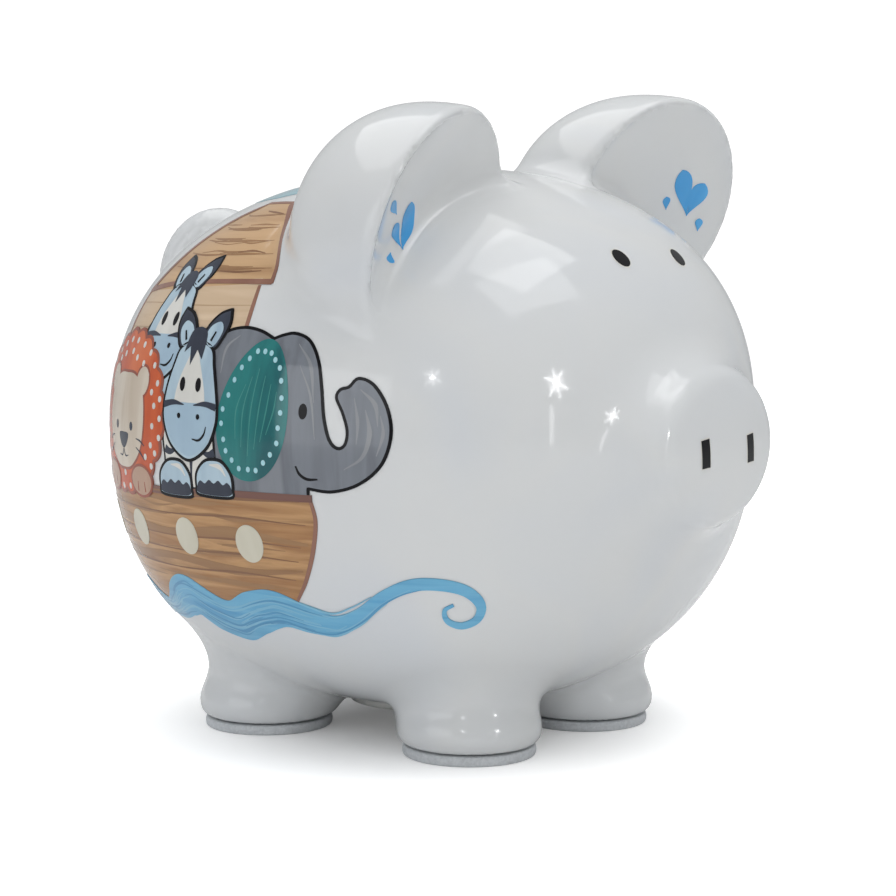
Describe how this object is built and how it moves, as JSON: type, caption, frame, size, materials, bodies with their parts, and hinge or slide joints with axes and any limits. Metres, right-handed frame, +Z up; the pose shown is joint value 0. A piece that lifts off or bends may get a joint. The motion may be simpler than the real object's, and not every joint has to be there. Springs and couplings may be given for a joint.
{
  "type": "piggy bank",
  "caption": "Round hollow ceramic pig for saving coins, with a slot along its back, a pull-out rubber plug in the belly and soft foot pads.",
  "frame": {"origin": "centre of the footprint box, on the surface the foot pads stand on", "axes": "+Z up, the snout points to -Y, the pig's right side is -X"},
  "size_m": [0.184, 0.2248, 0.1972],
  "materials": {
    "glaze": "gloss white glaze over painted decoration",
    "pad_foam": "matt grey-blue",
    "plug_rubber": "satin off-white"
  },
  "bodies": {
    "bank": {"body_shell": "glaze", "snout": "glaze", "ear_right": "glaze", "ear_left": "glaze", "leg_front_right": "glaze", "leg_rear_right": "glaze", "leg_front_left": "glaze", "leg_rear_left": "glaze", "tail": "glaze", "foot_pad_front_right": "pad_foam", "foot_pad_rear_right": "pad_foam", "foot_pad_front_left": "pad_foam", "foot_pad_rear_left": "pad_foam"},
    "stopper": {"stopper": "plug_rubber"}
  },
  "joints": [
    {"name": "stopper_pull", "type": "slide", "parent": "bank", "child": "stopper", "axis": [0, 0, -1], "range_m": [0, 0.04]}
  ]
}
